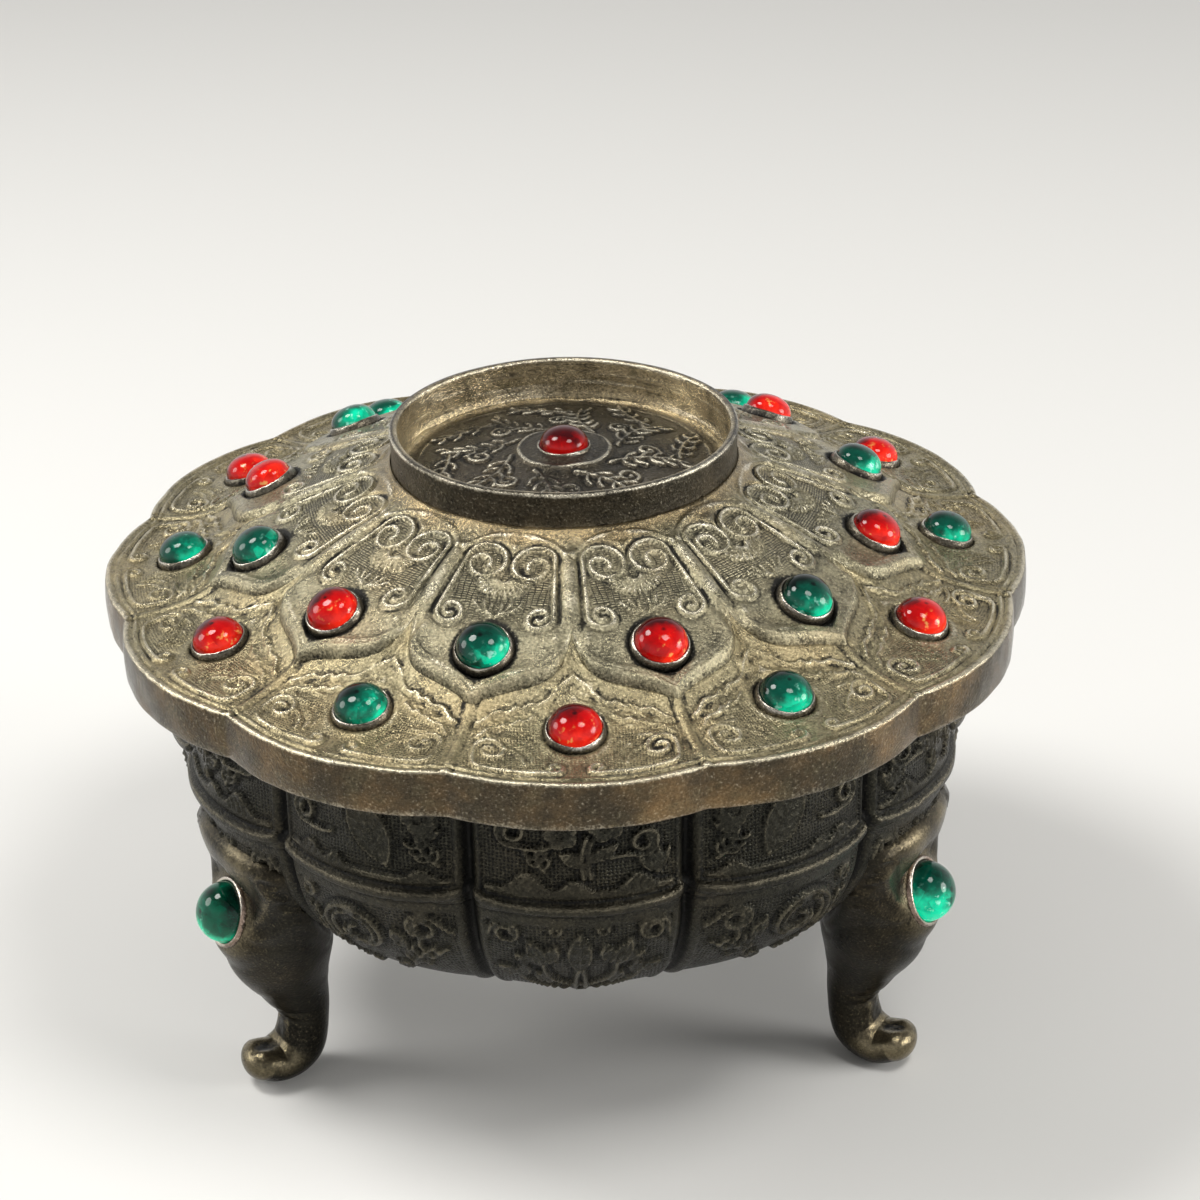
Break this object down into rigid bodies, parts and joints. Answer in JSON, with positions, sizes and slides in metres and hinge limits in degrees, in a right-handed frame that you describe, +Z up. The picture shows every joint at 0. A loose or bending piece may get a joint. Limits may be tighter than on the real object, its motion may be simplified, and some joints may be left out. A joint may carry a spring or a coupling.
{
  "type": "lidded incense burner",
  "caption": "Round lobed bronze incense burner on beast legs, with a lift-off lotus-petal lid, ring handle and red and green glass cabochons.",
  "frame": {"origin": "on the table under the burner's axis, at the centre of the bottom of its box", "axes": "+Z up along the axis; -Y towards the front, between the two front legs; +X to the right"},
  "size_m": [0.15, 0.15, 0.1046],
  "materials": {
    "dark_bronze": "aged, sooty brown with worn edges",
    "lid_bronze": "aged, dusty olive brown with bright worn edges",
    "handle_bronze": "satin grey brown, polished at the edge",
    "leg_bronze": "aged, rubbed smooth",
    "bezel_metal": "worn, bright on the lip",
    "red_glass": "polished, foil backed",
    "green_glass": "polished, foil backed"
  },
  "bodies": {
    "bowl": {"bowl": "dark_bronze", "leg_rear": "leg_bronze", "leg_rear_gem": "green_glass", "leg_front_left": "leg_bronze", "leg_front_left_gem": "green_glass", "leg_front_right": "leg_bronze", "leg_front_right_gem": "green_glass"},
    "lid": {"lid": "lid_bronze", "handle_ring": "handle_bronze", "handle_medallion": "handle_bronze", "inner_petal_01_bezel": "bezel_metal", "inner_petal_01_gem": "green_glass", "inner_petal_02_bezel": "bezel_metal", "inner_petal_02_gem": "red_glass", "inner_petal_03_bezel": "bezel_metal", "inner_petal_03_gem": "green_glass", "inner_petal_04_bezel": "bezel_metal", "inner_petal_04_gem": "red_glass", "inner_petal_05_bezel": "bezel_metal", "inner_petal_05_gem": "green_glass", "inner_petal_06_bezel": "bezel_metal", "inner_petal_06_gem": "red_glass", "inner_petal_07_bezel": "bezel_metal", "inner_petal_07_gem": "green_glass", "inner_petal_08_bezel": "bezel_metal", "inner_petal_08_gem": "red_glass", "inner_petal_09_bezel": "bezel_metal", "inner_petal_09_gem": "green_glass", "inner_petal_10_bezel": "bezel_metal", "inner_petal_10_gem": "red_glass", "inner_petal_11_bezel": "bezel_metal", "inner_petal_11_gem": "green_glass", "inner_petal_12_bezel": "bezel_metal", "inner_petal_12_gem": "red_glass", "outer_petal_01_bezel": "bezel_metal", "outer_petal_01_gem": "green_glass", "outer_petal_02_bezel": "bezel_metal", "outer_petal_02_gem": "red_glass", "outer_petal_03_bezel": "bezel_metal", "outer_petal_03_gem": "green_glass", "outer_petal_04_bezel": "bezel_metal", "outer_petal_04_gem": "red_glass", "outer_petal_05_bezel": "bezel_metal", "outer_petal_05_gem": "green_glass", "outer_petal_06_bezel": "bezel_metal", "outer_petal_06_gem": "red_glass", "outer_petal_07_bezel": "bezel_metal", "outer_petal_07_gem": "green_glass", "outer_petal_08_bezel": "bezel_metal", "outer_petal_08_gem": "red_glass", "outer_petal_09_bezel": "bezel_metal", "outer_petal_09_gem": "green_glass", "outer_petal_10_bezel": "bezel_metal", "outer_petal_10_gem": "red_glass", "outer_petal_11_bezel": "bezel_metal", "outer_petal_11_gem": "green_glass", "outer_petal_12_bezel": "bezel_metal", "outer_petal_12_gem": "red_glass", "medallion_bezel": "bezel_metal", "medallion_gem": "red_glass"}
  },
  "joints": [
    {"name": "lid_lift", "type": "slide", "parent": "bowl", "child": "lid", "axis": [0, 0, 1], "range_m": [0, 0.12]}
  ]
}
